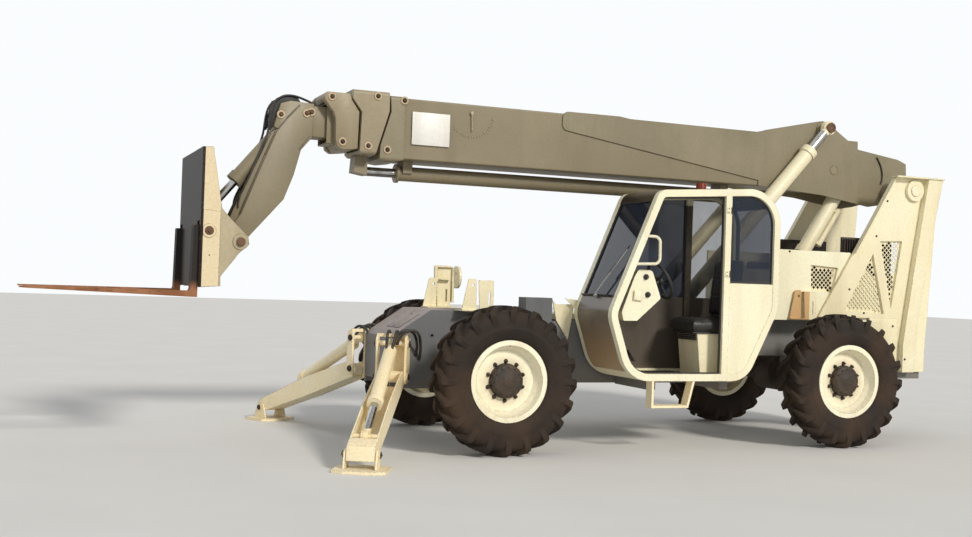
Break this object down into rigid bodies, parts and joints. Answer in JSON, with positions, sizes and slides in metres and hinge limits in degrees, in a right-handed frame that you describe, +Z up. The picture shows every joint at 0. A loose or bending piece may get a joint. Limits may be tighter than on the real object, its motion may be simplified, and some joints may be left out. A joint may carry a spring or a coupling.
{
  "type": "telehandler",
  "caption": "Telehandler with a telescopic boom in nested box sections, side cab, splayed front stabilizers, steered lugged tyres and a fork carriage.",
  "frame": {"origin": "on the ground under the middle of the whole machine, forks and pads included", "axes": "+X towards the fork tips, +Y to the driver's left, +Z up"},
  "size_m": [8.97, 3.73, 3.275],
  "materials": {
    "cream_paint": "worn gloss paint",
    "boom_paint": "weathered satin paint",
    "chassis_paint": "dull dark paint",
    "carriage_paint": "worn paint with rust",
    "fork_steel": "rust bloom",
    "chrome_rod": "bright",
    "tyre_rubber": "dusty matt",
    "rim_paint": "gloss paint",
    "axle_steel": "oily dark",
    "cab_glass": "clear",
    "nose_plastic": "glossy",
    "seat_vinyl": "soft",
    "black_plastic": "matt",
    "beacon_lens": "clear"
  },
  "bodies": {
    "chassis": {"chassis": "chassis_paint", "front_axle": "axle_steel", "rear_axle": "axle_steel", "cab_frame": "cream_paint", "cab_nose_panel": "nose_plastic", "cab_floor": "cream_paint", "cab_rear_panel": "cream_paint", "cab_roof": "cream_paint", "cab_glass": "cab_glass", "cab_quarter_panel": "cream_paint", "cab_inner_panels": "cream_paint", "seat_base": "cream_paint", "seat": "seat_vinyl", "dash": "cream_paint", "steering_wheel": "black_plastic", "cab_step": "cream_paint", "beacon": "beacon_lens", "tank": "chassis_paint", "engine": "chassis_paint", "engine_cover": "cream_paint", "tower": "cream_paint", "counterweight": "chassis_paint", "stabilizer_brackets": "cream_paint", "fender_brackets": "cream_paint", "grilles": "cream_paint"},
    "boom_base": {"boom_base": "boom_paint", "extension_barrel": "boom_paint"},
    "boom_2": {"boom_2": "boom_paint", "extension_rod": "chrome_rod"},
    "boom_3": {"boom_3": "boom_paint"},
    "boom_4": {"boom_4": "boom_paint"},
    "carriage": {"carriage": "carriage_paint", "fork_shaft": "fork_steel", "forks": "fork_steel"},
    "tilt_barrel": {"tilt_barrel": "boom_paint"},
    "tilt_rod": {"tilt_rod": "chrome_rod"},
    "lift_barrels": {"lift_barrels": "cream_paint"},
    "lift_rods": {"lift_rods": "chrome_rod"},
    "compensating_barrel": {"compensating_barrel": "cream_paint"},
    "compensating_rod": {"compensating_rod": "chrome_rod"},
    "knuckle_front_left": {"knuckle_front_left": "axle_steel"},
    "wheel_front_left": {"rim_front_left": "rim_paint", "tyre_front_left": "tyre_rubber"},
    "knuckle_front_right": {"knuckle_front_right": "axle_steel"},
    "wheel_front_right": {"rim_front_right": "rim_paint", "tyre_front_right": "tyre_rubber"},
    "knuckle_rear_left": {"knuckle_rear_left": "axle_steel"},
    "wheel_rear_left": {"rim_rear_left": "rim_paint", "tyre_rear_left": "tyre_rubber"},
    "knuckle_rear_right": {"knuckle_rear_right": "axle_steel"},
    "wheel_rear_right": {"rim_rear_right": "rim_paint", "tyre_rear_right": "tyre_rubber"},
    "stabilizer_leg_left": {"stabilizer_leg_left": "cream_paint"},
    "stabilizer_pad_left": {"stabilizer_pad_left": "cream_paint"},
    "stabilizer_barrel_left": {"stabilizer_barrel_left": "cream_paint"},
    "stabilizer_rod_left": {"stabilizer_rod_left": "chrome_rod"},
    "stabilizer_leg_right": {"stabilizer_leg_right": "cream_paint"},
    "stabilizer_pad_right": {"stabilizer_pad_right": "cream_paint"},
    "stabilizer_barrel_right": {"stabilizer_barrel_right": "cream_paint"},
    "stabilizer_rod_right": {"stabilizer_rod_right": "chrome_rod"}
  },
  "joints": [
    {"name": "steer_front_left", "type": "hinge", "parent": "chassis", "child": "knuckle_front_left", "pos_m": [0.615, 0.84, 0.64], "axis": [0, 0, 1], "range_deg": [-25, 25]},
    {"name": "roll_front_left", "type": "hinge", "parent": "knuckle_front_left", "child": "wheel_front_left", "pos_m": [0.615, 1.06, 0.64], "axis": [0, 1, 0], "continuous": true},
    {"name": "steer_front_right", "type": "hinge", "parent": "chassis", "child": "knuckle_front_right", "pos_m": [0.615, -0.84, 0.64], "axis": [0, 0, 1], "range_deg": [-25, 25]},
    {"name": "roll_front_right", "type": "hinge", "parent": "knuckle_front_right", "child": "wheel_front_right", "pos_m": [0.615, -1.06, 0.64], "axis": [0, 1, 0], "continuous": true},
    {"name": "steer_rear_left", "type": "hinge", "parent": "chassis", "child": "knuckle_rear_left", "pos_m": [-2.93, 0.84, 0.64], "axis": [0, 0, 1], "range_deg": [-25, 25]},
    {"name": "roll_rear_left", "type": "hinge", "parent": "knuckle_rear_left", "child": "wheel_rear_left", "pos_m": [-2.93, 1.06, 0.64], "axis": [0, 1, 0], "continuous": true},
    {"name": "steer_rear_right", "type": "hinge", "parent": "chassis", "child": "knuckle_rear_right", "pos_m": [-2.93, -0.84, 0.64], "axis": [0, 0, 1], "range_deg": [-25, 25]},
    {"name": "roll_rear_right", "type": "hinge", "parent": "knuckle_rear_right", "child": "wheel_rear_right", "pos_m": [-2.93, -1.06, 0.64], "axis": [0, 1, 0], "continuous": true},
    {"name": "boom_lift", "type": "hinge", "parent": "chassis", "child": "boom_base", "pos_m": [-4.145, 0, 2.575], "axis": [0, -1, 0], "range_deg": [0, 65]},
    {"name": "boom_extend", "type": "slide", "parent": "boom_base", "child": "boom_2", "axis": [1, 0, 0], "range_m": [0, 3.45]},
    {"name": "boom_3_extend", "type": "slide", "parent": "boom_2", "child": "boom_3", "axis": [1, 0, 0], "range_m": [0, 3.45]},
    {"name": "boom_4_extend", "type": "slide", "parent": "boom_3", "child": "boom_4", "axis": [1, 0, 0], "range_m": [0, 3.45]},
    {"name": "lift_barrels_swing", "type": "hinge", "parent": "chassis", "child": "lift_barrels", "pos_m": [-1.485, 0, 1.24], "axis": [0, -1, 0], "range_deg": [-0.5, 8.05]},
    {"name": "lift_rods_slide", "type": "slide", "parent": "lift_barrels", "child": "lift_rods", "axis": [-0.6742, 0, 0.7386], "range_m": [-0.002, 1.07936]},
    {"name": "compensating_barrel_swing", "type": "hinge", "parent": "boom_base", "child": "compensating_barrel", "pos_m": [-3.635, 0.12, 2.64], "axis": [0, -1, 0], "range_deg": [-63.98, 0.5]},
    {"name": "compensating_rod_slide", "type": "slide", "parent": "compensating_barrel", "child": "compensating_rod", "axis": [0.5461, 0, -0.8377], "range_m": [-0.002, 0.5516]},
    {"name": "carriage_tilt", "type": "hinge", "parent": "boom_4", "child": "carriage", "pos_m": [2.805, 0, 1.735], "axis": [0, -1, 0], "range_deg": [-55, 12]},
    {"name": "tilt_barrel_swing", "type": "hinge", "parent": "boom_4", "child": "tilt_barrel", "pos_m": [2.315, 0, 2.83], "axis": [0, -1, 0], "range_deg": [-3.22, 1.09]},
    {"name": "tilt_rod_slide", "type": "slide", "parent": "tilt_barrel", "child": "tilt_rod", "axis": [0.6337, 0, -0.7735], "range_m": [-0.06649, 0.29757]},
    {"name": "stabilizer_left", "type": "hinge", "parent": "chassis", "child": "stabilizer_leg_left", "pos_m": [1.43, 0.47, 0.62], "axis": [0.8942, -0.4478, 0], "range_deg": [0, 70]},
    {"name": "stabilizer_pad_left_swivel", "type": "hinge", "parent": "stabilizer_leg_left", "child": "stabilizer_pad_left", "pos_m": [2.02552, 1.65922, 0.13], "axis": [0.8942, -0.4478, 0], "range_deg": [-22, 20]},
    {"name": "stabilizer_barrel_left_swing", "type": "hinge", "parent": "chassis", "child": "stabilizer_barrel_left", "pos_m": [1.43, 0.47, 0.91], "axis": [0.8942, -0.4478, 0], "range_deg": [-0.5, 72.55]},
    {"name": "stabilizer_rod_left_slide", "type": "slide", "parent": "stabilizer_barrel_left", "child": "stabilizer_rod_left", "axis": [0.3935, 0.7857, -0.4773], "range_m": [-0.33187, 0.002]},
    {"name": "stabilizer_right", "type": "hinge", "parent": "chassis", "child": "stabilizer_leg_right", "pos_m": [1.43, -0.47, 0.62], "axis": [-0.8942, -0.4478, 0], "range_deg": [0, 70]},
    {"name": "stabilizer_pad_right_swivel", "type": "hinge", "parent": "stabilizer_leg_right", "child": "stabilizer_pad_right", "pos_m": [2.02552, -1.65922, 0.13], "axis": [-0.8942, -0.4478, 0], "range_deg": [-22, 20]},
    {"name": "stabilizer_barrel_right_swing", "type": "hinge", "parent": "chassis", "child": "stabilizer_barrel_right", "pos_m": [1.43, -0.47, 0.91], "axis": [-0.8942, -0.4478, 0], "range_deg": [-0.5, 72.55]},
    {"name": "stabilizer_rod_right_slide", "type": "slide", "parent": "stabilizer_barrel_right", "child": "stabilizer_rod_right", "axis": [0.3935, -0.7857, -0.4773], "range_m": [-0.33187, 0.002]}
  ],
  "couplings": [
    {"joint": "steer_front_right", "follows": "steer_front_left", "ratio": 1},
    {"joint": "steer_rear_right", "follows": "steer_rear_left", "ratio": 1},
    {"joint": "boom_3_extend", "follows": "boom_extend", "ratio": 1},
    {"joint": "boom_4_extend", "follows": "boom_extend", "ratio": 1},
    {"joint": "lift_barrels_swing", "follows": "boom_lift", "ratio": 0.11619},
    {"joint": "lift_rods_slide", "follows": "boom_lift", "m_per_rad": 0.94966},
    {"joint": "compensating_barrel_swing", "follows": "boom_lift", "ratio": -0.97657},
    {"joint": "compensating_rod_slide", "follows": "boom_lift", "m_per_rad": 0.48446},
    {"joint": "tilt_barrel_swing", "follows": "carriage_tilt", "ratio": 0.049501},
    {"joint": "tilt_rod_slide", "follows": "carriage_tilt", "m_per_rad": -0.30791},
    {"joint": "stabilizer_barrel_left_swing", "follows": "stabilizer_left", "ratio": 1.0292},
    {"joint": "stabilizer_rod_left_slide", "follows": "stabilizer_left", "m_per_rad": -0.27},
    {"joint": "stabilizer_barrel_right_swing", "follows": "stabilizer_right", "ratio": 1.0292},
    {"joint": "stabilizer_rod_right_slide", "follows": "stabilizer_right", "m_per_rad": -0.27}
  ]
}
